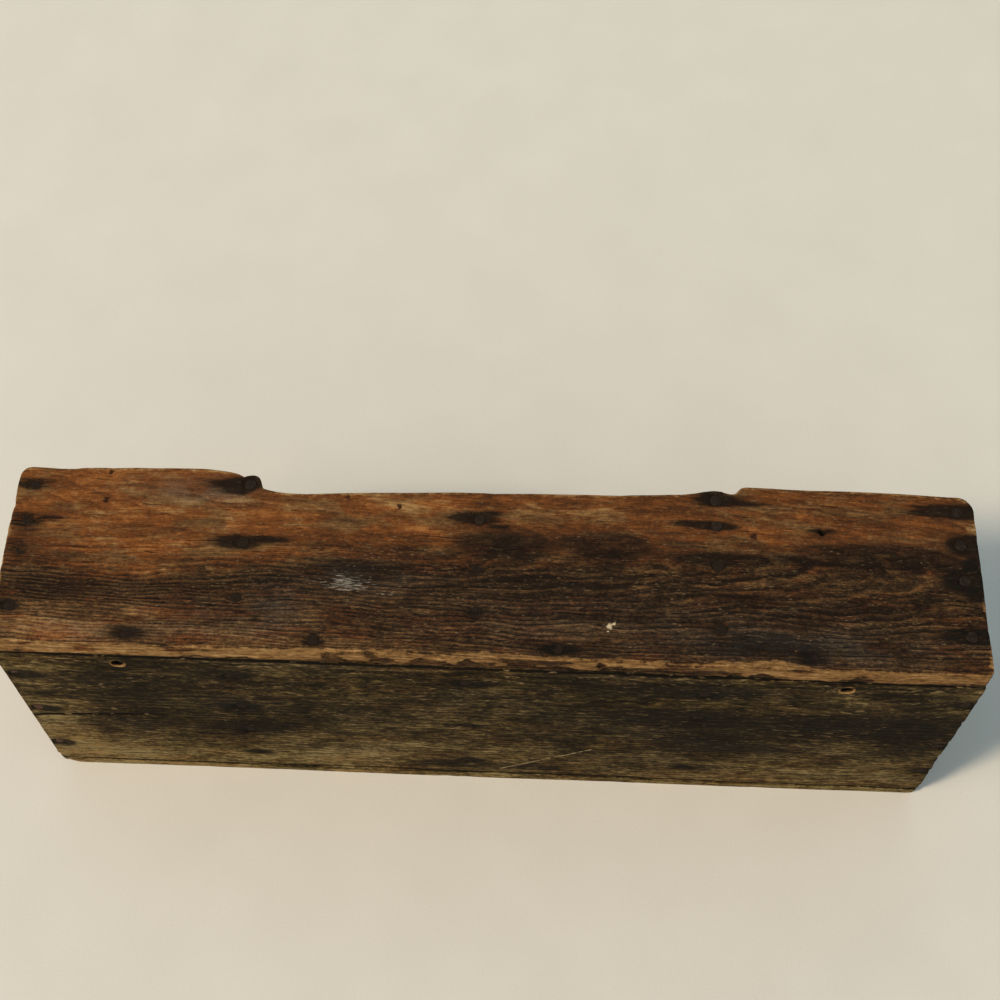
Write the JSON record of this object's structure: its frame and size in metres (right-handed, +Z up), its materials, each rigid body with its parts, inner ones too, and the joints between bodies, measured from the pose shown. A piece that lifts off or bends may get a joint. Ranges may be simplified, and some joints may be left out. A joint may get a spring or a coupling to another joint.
{
  "type": "divided wooden box",
  "caption": "Long narrow box of weathered nailed boards with upright dividers, open at the front, hung by holes drilled through its back.",
  "frame": {"origin": "middle of the underside of the lower board", "axes": "+X along the length to the right seen from the back, +Y out of the open front, +Z up as it hangs"},
  "size_m": [0.55, 0.114, 0.188],
  "materials": {
    "brown_wood": "old waxed and worn pine, brown with black nail stains",
    "grey_wood": "raw weathered pine, grey-olive",
    "end_wood": "raw weathered pine, grey-brown",
    "inner_wood": "raw aged pine, less weathered",
    "rusty_iron": "rusted iron wire nail"
  },
  "bodies": {
    "root": {"top_board": "brown_wood", "lower_board": "brown_wood", "back_board": "grey_wood", "left_end": "end_wood", "right_end": "end_wood", "left_divider": "inner_wood", "middle_divider": "inner_wood", "right_divider": "inner_wood", "top_nails_left_end": "rusty_iron", "top_nails_right_end": "rusty_iron", "top_nails_left_divider": "rusty_iron", "top_nails_middle_divider": "rusty_iron", "top_nails_right_divider": "rusty_iron", "top_nails_back": "rusty_iron", "lower_nails_left_end": "rusty_iron", "lower_nails_right_end": "rusty_iron", "lower_nails_left_divider": "rusty_iron", "lower_nails_middle_divider": "rusty_iron", "lower_nails_right_divider": "rusty_iron", "lower_nails_back": "rusty_iron", "back_nails_left_end": "rusty_iron", "back_nails_right_end": "rusty_iron", "back_nails_left_divider": "rusty_iron", "back_nails_middle_divider": "rusty_iron", "back_nails_right_divider": "rusty_iron"}
  },
  "joints": []
}
